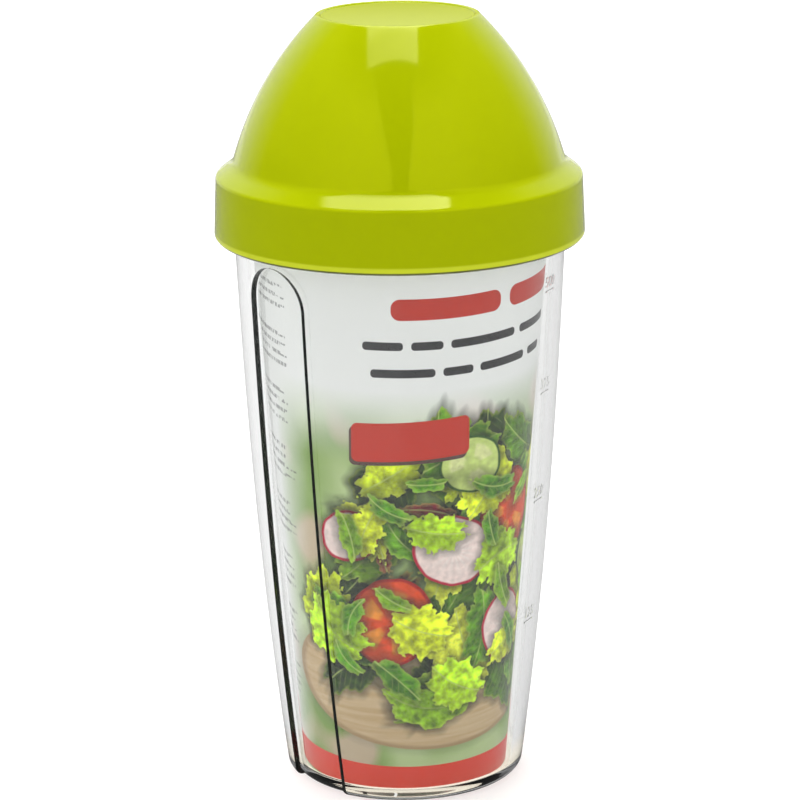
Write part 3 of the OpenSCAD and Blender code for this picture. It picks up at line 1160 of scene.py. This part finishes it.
    def stretched(
        self, s: Shader, place: bpy.types.NodeSocket, by: Sequence[float]
    ) -> bpy.types.NodeSocket:
        """Stretches a pattern's place."""
        return s.feed(s.node("Mapping"), Vector=place, Scale=by).outputs[0]

    def leaf(
        self,
        s: Shader,
        sheet: bpy.types.NodeSocket,
        near: Sequence[bpy.types.NodeSocket],
        layer: Leaves,
        under: bpy.types.NodeSocket,
    ) -> bpy.types.NodeSocket:
        """Prints one layer of leaves: frilled edge, folds, veins and a pale rim."""
        along, across, off = near
        ragged = s.math("MULTIPLY", s.math("SUBTRACT", s.noise(sheet, 0.75, 2.0), 0.5), layer.frill * 2)
        edge = s.math("ADD", off, ragged)
        tint = s.node("Attribute", attribute_name=f"{layer.name}_tint").outputs["Vector"]
        folds = s.ramp(s.noise(sheet, 0.42, 3.0), 0.3, 0.7, 1 - layer.ruffle, 1 + layer.ruffle)
        half = s.ramp(across, -0.5, 0.5, 0.84, 1.16)
        lit = s.scaled(tint, s.math("MULTIPLY", folds, half))
        aside = s.math("ABSOLUTE", across)
        rib = s.ramp(aside, 0.12, 0.3, 0.6, 0.0)
        steps = s.math("PINGPONG", s.math("SUBTRACT", along, aside), 1.1)
        veins = s.math("MULTIPLY", s.ramp(steps, 0.0, 0.2, 0.35, 0.0), s.ramp(edge, -1.6, -0.6, 1.0, 0.0))
        lit = s.mix(s.math("MAXIMUM", rib, veins), lit, (0.62, 0.72, 0.28, 1))
        lit = s.mix(s.ramp(edge, -0.9, -0.1, 0.0, 0.35), lit, (0.75, 0.82, 0.25, 1))
        return s.mix(s.ramp(edge, -0.05, 0.08, 1.0, 0.0), under, lit)

    def slice(
        self,
        s: Shader,
        sheet: bpy.types.NodeSocket,
        near: Sequence[bpy.types.NodeSocket],
        layer: Slices,
        under: bpy.types.NodeSocket,
    ) -> bpy.types.NodeSocket:
        """Prints one layer of slices: flesh, chambers or rays, and a rim."""
        u, v, off = near
        edge = s.math("ADD", off, s.math("MULTIPLY", s.math("SUBTRACT", s.noise(sheet, 0.2, 1.0), 0.5), 1.2))
        share = s.math("SQRT", s.math("ADD", s.math("MULTIPLY", u, u), s.math("MULTIPLY", v, v)))
        turn = s.math("ARCTAN2", v, u)
        if layer.chambers:
            wave = s.math("COSINE", s.math("MULTIPLY", turn, float(layer.chambers)))
            inside = s.math("MULTIPLY", s.ramp(share, 0.2, 0.32, 0.0, 1.0), s.ramp(share, 0.66, 0.76, 1.0, 0.0))
            room = s.math("MULTIPLY", s.ramp(wave, -0.3, 0.1, 0.0, 1.0), inside)
        else:
            rays = s.math("COSINE", s.math("MULTIPLY", turn, 17.0))
            room = s.math("MULTIPLY", s.ramp(rays, -1.0, 1.0, 0.0, 0.8), s.ramp(share, 0.1, 0.8, 1.0, 0.0))
        flesh = s.mix(room, (*layer.flesh, 1), (*layer.heart, 1))
        mottle = s.ramp(s.noise(sheet, 0.6, 3.0), 0.3, 0.7, 0.88, 1.1)
        flesh = s.scaled(flesh, mottle)
        skin = s.ramp(edge, -layer.rim_w, -0.55 * layer.rim_w, 0.0, 1.0)
        flesh = s.mix(skin, flesh, (*layer.rim, 1))
        return s.mix(s.ramp(edge, -0.05, 0.08, 1.0, 0.0), under, flesh)

    def bars(
        self,
        s: Shader,
        sheet: bpy.types.NodeSocket,
        x: bpy.types.NodeSocket,
        y: bpy.types.NodeSocket,
        under: bpy.types.NodeSocket,
    ) -> bpy.types.NodeSocket:
        """Prints the bare bars: band, tag, and rounded bars in place of words."""

        def box(x0: float, x1: float, y0: float, y1: float, lean: float = 0.0, round_r: float = 0.0) -> bpy.types.NodeSocket:
            level = s.math("SUBTRACT", y, s.math("MULTIPLY", x, lean))
            wide, tall = (x1 - x0) / 2 - round_r, (y1 - y0) / 2 - round_r
            sides = s.math("SUBTRACT", s.math("ABSOLUTE", s.math("SUBTRACT", x, (x0 + x1) / 2)), wide)
            ends = s.math("SUBTRACT", s.math("ABSOLUTE", s.math("SUBTRACT", level, (y0 + y1) / 2)), tall)
            out_x, out_y = s.math("MAXIMUM", sides, 0.0), s.math("MAXIMUM", ends, 0.0)
            off = s.math("SQRT", s.math("ADD", s.math("MULTIPLY", out_x, out_x), s.math("MULTIPLY", out_y, out_y)))
            off = s.math("ADD", off, s.math("MINIMUM", s.math("MAXIMUM", sides, ends), 0.0))
            return s.ramp(s.math("SUBTRACT", off, round_r), -0.05, 0.05, 1.0, 0.0)

        red, ink = (*self.tag_red, 1), (*self.ink, 1)
        out = s.mix(box(-200, 200, -1, 6.3), under, (*self.band_red, 1))
        words = ((-7, 22, 128.8, 134.4, red), (25, 47, 128.8, 134.4, red))
        words += tuple((a, b, 120.9, 123.1, ink) for a, b in ((-14, -4), (-2, 6), (8, 27), (29, 43)))
        words += tuple((a, b, 113.7, 115.9, ink) for a, b in ((-12, 4), (6, 14), (16, 31), (33, 40)))
        for x0, x1, y0, y1, colour in words:
            out = s.mix(box(x0, x1, y0, y1, 0.0, 0.42 * (y1 - y0)), out, colour)
        out = s.mix(box(-17.6, 12.4, 90.6, 101.2, 0.05, 1.6), out, (0.1, 0.05, 0.04, 1))
        out = s.mix(box(-17, 13, 91.6, 102, 0.05, 1.6), out, red)
        row = s.math("FLOOR", s.math("DIVIDE", y, 2.6))
        end = s.ramp(s.noise(self.line(s, s.math("MULTIPLY", row, 0.73)), 1.0, 0.0), 0.3, 0.7, -43.0, -35.0)
        rows = s.ramp(s.math("PINGPONG", s.math("SUBTRACT", y, 0.0), 1.3), 0.45, 0.6, 1.0, 0.0)
        groups = s.ramp(s.math("PINGPONG", s.math("ADD", y, 2.0), 7.8), 2.6, 2.7, 0.0, 1.0)
        letters = s.ramp(s.noise(self.stretched(s, sheet, (1.3, 0.4, 1.0)), 1.0, 1.0), 0.44, 0.5, 0.0, 0.6)
        column = s.math("MULTIPLY", box(-64, -30, 18, 134), s.math("LESS_THAN", x, end))
        dashes = s.math("MULTIPLY", s.math("MULTIPLY", rows, groups), s.math("MULTIPLY", letters, column))
        return s.mix(dashes, out, ink)

    def line(self, s: Shader, along: bpy.types.NodeSocket) -> bpy.types.NodeSocket:
        """Makes a place that moves on one axis only."""
        return s.feed(s.node("CombineXYZ"), X=along).outputs[0]


@dataclass
class Studio:
    """Floor, world and camera of the photograph, with a way to hang lamps that make does not use."""

    distance: float = 850.0
    height: float = 338.6
    azimuth: float = -40.0
    pitch: float = 15.66
    roll: float = 0.605
    focal_px: float = 3375.0
    axis_px: float = 401.55
    picture_px: float = 800.0
    sensor: float = 36.0
    top_light: Point = (5.8, 3.3)
    gap_light: float = 0.06
    side_light: Point = (0.76, 1.75)
    back_light: Point = (0.8, 0.88)
    back_tone: tuple[Colour, Colour] = ((0.52, 0.51, 0.13), (1.0, 1.0, 0.6))
    edge_share: Point = (1.0, 0.6)
    floor_matt: float = 0.72
    floor_glow: float = 0.3
    floor_mirror: tuple[float, float, float, float] = (0.16, 0.7, 0.4, 1.1)
    low_side: float = 0.3
    high_side: float = 0.35
    side_blue: float = 0.12
    over_light: float = 1.6
    lost_light: float = 0.6
    lost_depth: int = 9
    under_glow: Colour = (1.3, 1.19, 0.99)
    far_glow: Point = (1.25, 1.04)

    def make(self) -> None:
        """Sets the stage."""
        self.camera()
        self.floor()
        self.world()
        scene = bpy.context.scene
        scene.view_settings.view_transform = "Standard"

    def camera(self) -> None:
        """Puts the camera where the photograph was taken from."""
        a = math.radians(self.azimuth)
        data = bpy.data.cameras.new("photo_camera")
        data.sensor_width = self.sensor
        data.lens = self.sensor * self.focal_px / self.picture_px
        data.shift_x = (self.picture_px / 2 - self.axis_px) / self.picture_px
        data.clip_start, data.clip_end = 0.05, 50
        camera = bpy.data.objects.new("photo_camera", data)
        camera.location = Vector((math.sin(a) * self.distance, -math.cos(a) * self.distance, self.height)) * MM
        down = Euler((math.radians(90 - self.pitch), 0, a), "XYZ").to_matrix()
        camera.rotation_euler = (down @ Matrix.Rotation(math.radians(-self.roll), 3, "Z")).to_euler()
        bpy.context.scene.collection.objects.link(camera)
        bpy.context.scene.camera = camera

    def floor(self) -> None:
        """Lays a plain pale floor that keeps the object's shadow."""
        deselect()
        bpy.ops.mesh.primitive_plane_add(size=14)
        floor = bpy.context.object
        floor.name = "floor"
        s = Shader("pale_floor")
        path = s.node("LightPath").outputs
        matt = s.feed(s.node("BsdfDiffuse"), Color=(*(self.floor_matt,) * 3, 1))
        white = s.feed(s.node("Emission"), Strength=s.math("MULTIPLY", path["Is Camera Ray"], self.floor_glow))
        lit = s.feed(s.node("AddShader"), i0=matt.outputs[0], i1=white.outputs[0])
        shown, lost = self.rays(s)
        off = s.feed(s.node("VectorMath", operation="LENGTH"), i0=s.node("TexCoord").outputs["Object"]).outputs["Value"]
        a = math.radians(self.azimuth)
        aside = s.feed(
            s.node("VectorMath", operation="DOT_PRODUCT"),
            i0=s.node("TexCoord").outputs["Object"],
            i1=(math.cos(a), math.sin(a), 0),
        ).outputs["Value"]
        far = s.ramp(aside, -0.02, 0.02, *self.far_glow)
        under = s.mix(s.ramp(off, 0.032, 0.042, 0.0, 1.0), (*self.under_glow, 1), far)
        mirrored = self.mirrored(s)
        level = s.math("ADD", s.math("MULTIPLY", lost, self.lost_light), shown)
        behind = s.feed(
            s.node("VectorMath", operation="DOT_PRODUCT"),
            i0=s.node("TexCoord").outputs["Object"],
            i1=(-math.sin(a), math.cos(a), 0),
        ).outputs["Value"]
        turned = s.math("DIVIDE", behind, s.math("MAXIMUM", off, 0.001))
        front, near, mid, distant = self.floor_mirror
        back = s.math("ADD", s.ramp(off, 0.5, 0.65, near, mid), s.ramp(off, 1.0, 2.0, 0.0, distant - mid))
        mirror = s.ramp(turned, 0.35, 0.85, front, back)
        level = s.math("ADD", level, s.math("MULTIPLY", mirrored, mirror))
        flat = s.feed(s.node("Emission"), Color=s.mix(mirrored, under, (1, 1, 1, 1)), Strength=level)
        only = s.math("MAXIMUM", mirrored, path["Is Transmission Ray"])
        both = s.feed(s.node("MixShader"), i0=only, i1=lit.outputs[0], i2=flat.outputs[0])
        floor.data.materials.append(s.finish(both.outputs[0]))

    def mirrored(self, s: Shader) -> bpy.types.NodeSocket:
        """Picks the rays that come from a mirroring skin."""
        path = s.node("LightPath").outputs
        return s.math("MULTIPLY", path["Is Glossy Ray"], s.math("SUBTRACT", 1.0, path["Is Transmission Ray"]))

    def rays(self, s: Shader) -> tuple[bpy.types.NodeSocket, bpy.types.NodeSocket]:
        """Sorts the rays that meet the stage.

        Args:
            s: The stage's shader.

        Returns:
            One for rays that show the stage as a background, and one for rays that
            have been led along inside clear walls for so long that they are lost.
        """
        path = s.node("LightPath").outputs
        deep = s.math("GREATER_THAN", path["Ray Depth"], self.lost_depth)
        lost = s.math("MULTIPLY", path["Is Transmission Ray"], deep)
        seen = s.math("MAXIMUM", path["Is Camera Ray"], path["Is Transmission Ray"])
        return s.math("SUBTRACT", seen, lost), lost

    def world(self) -> None:
        """Lights the room: pale all round, a bright panel overhead, a dark gap over the camera."""
        s = RoomShader("studio")
        a = math.radians(self.azimuth)
        right = s.along((math.cos(a), math.sin(a), 0))
        toward = s.along((math.sin(a), -math.cos(a), 0))
        high = s.math("MAXIMUM", s.along((0, 0, 1)), 0.02)
        aside = s.math("DIVIDE", right, high)
        reach = s.math("DIVIDE", toward, high)
        front = s.ramp(reach, 0.395, 0.425, 0.0, 1.0)
        panel = s.math("MULTIPLY", s.ramp(aside, -0.45, -0.4, 0.0, 1.0), s.ramp(aside, 0.265, 0.285, 1.0, 0.0))
        gap_left = s.math("SUBTRACT", aside, s.ramp(reach, 0.4, 2.0, -0.36, -0.2))
        notch = s.ramp(reach, 0.54, 0.6, 0.27, s.ramp(reach, 0.6, 1.15, 0.19, 0.27))
        gap_right = s.math("SUBTRACT", notch, aside)
        gap = s.ramp(s.math("MINIMUM", gap_left, gap_right), -0.01, 0.01, 0.0, 1.0)
        middle = s.ramp(front, 0.0, 1.0, panel, gap)
        glossy = self.mirrored(s)
        top, side, back, edge = (
            s.ramp(glossy, 0.0, 1.0, *pair)
            for pair in (self.top_light, self.side_light, self.back_light, self.edge_share)
        )
        bright = s.math("MULTIPLY", top, s.ramp(aside, -0.4, 0.28, 0.8, 1.25))
        over = s.ramp(reach, 0.1, 0.2, self.over_light, 1.0)
        bright = s.math("MULTIPLY", bright, s.ramp(glossy, 0.0, 1.0, 1.0, over))
        ahead = s.ramp(front, 0.0, 1.0, s.ramp(reach, -0.9, -0.7, back, bright), self.gap_light)
        around = s.ramp(toward, -0.6, 0.6, back, side)
        outward = s.math("ABSOLUTE", right)
        around = s.math("MULTIPLY", around, s.ramp(outward, 0.55, 1.0, 1.0, edge))
        low = s.ramp(high, 0.08, 0.32, s.ramp(glossy, 0.0, 1.0, 1.0, self.low_side), 1.0)
        around = s.math("MULTIPLY", around, s.ramp(toward, -0.5, -0.2, 1.0, low))
        near_top = s.ramp(high, 0.72, 0.86, 1.0, self.high_side)
        around = s.math("MULTIPLY", around, s.ramp(glossy, 0.0, 1.0, 1.0, near_top))
        room = s.ramp(middle, 0.0, 1.0, around, ahead)
        shown, lost = self.rays(s)
        rest = s.math("SUBTRACT", 1.0, s.math("ADD", shown, lost))
        through = s.node("LightPath").outputs["Is Transmission Ray"]
        level = s.ramp(through, 0.0, 1.0, 1.0, s.ramp(right, -0.1, 0.1, *self.far_glow))
        light = s.math("ADD", s.math("MULTIPLY", shown, level), s.math("MULTIPLY", lost, self.lost_light))
        light = s.math("ADD", light, s.math("MULTIPLY", rest, room))
        dim, raised = ((*tone, 1) for tone in self.back_tone)
        tone = s.mix(s.ramp(high, 0.1, 0.22, 0.0, 1.0), dim, raised)
        warm = s.math("MULTIPLY", s.ramp(toward, -0.9, -0.75, 1.0, 0.0), s.ramp(outward, 0.12, 0.25, 1.0, 0.0))
        beside = s.math("MULTIPLY", s.ramp(toward, -0.7, -0.35, 0.0, 1.0), s.math("SUBTRACT", 1.0, middle))
        colour = s.mix(s.math("MULTIPLY", glossy, warm), (1, 1, 1, 1), tone)
        colour = s.mix(s.math("MULTIPLY", glossy, beside), colour, (1, 1, self.side_blue, 1))
        glow = s.feed(s.node("Background"), Color=colour, Strength=light)
        s.feed(s.node("OutputWorld"), Surface=glow.outputs[0])

    def panel(self, name: str, place: tuple, aim: tuple, size: Point, watts: float) -> None:
        """Hangs one soft rectangular lamp.

        Args:
            name: The lamp's name.
            place: Its middle, in metres.
            aim: The point that it faces, in metres.
            size: Its width and height in metres.
            watts: Its power.
        """
        data = bpy.data.lights.new(name, "AREA")
        data.shape = "RECTANGLE"
        data.size, data.size_y = size
        data.energy = watts
        lamp = bpy.data.objects.new(name, data)
        lamp.location = place
        lamp.rotation_euler = (Vector(aim) - Vector(place)).to_track_quat("-Z", "Y").to_euler()
        bpy.context.scene.collection.objects.link(lamp)


def corners(box: Sequence[Vector]) -> list[list[float]]:
    """Gives a box's two corners as plain lists."""
    return [list(corner) for corner in box]


def main() -> None:
    """Builds the shaker's pieces and the studio around the frame."""
    logging.basicConfig(level=logging.INFO, format="%(name)s: %(message)s")
    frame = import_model()
    sieve = GlossyPlastic("strainer_plastic", (0.8, 0.82, 0.8), (0.77, 0.79, 0.77), 0.3, glow=0.2).build()
    node = frame["nodes"]["strainer_insert"]
    node.data.materials.clear()
    node.data.materials.append(sieve)
    Beaker().make()
    Lid().make()
    SealRing().make()
    Card().make()
    Studio().make()


if __name__ == "__main__":
    main()
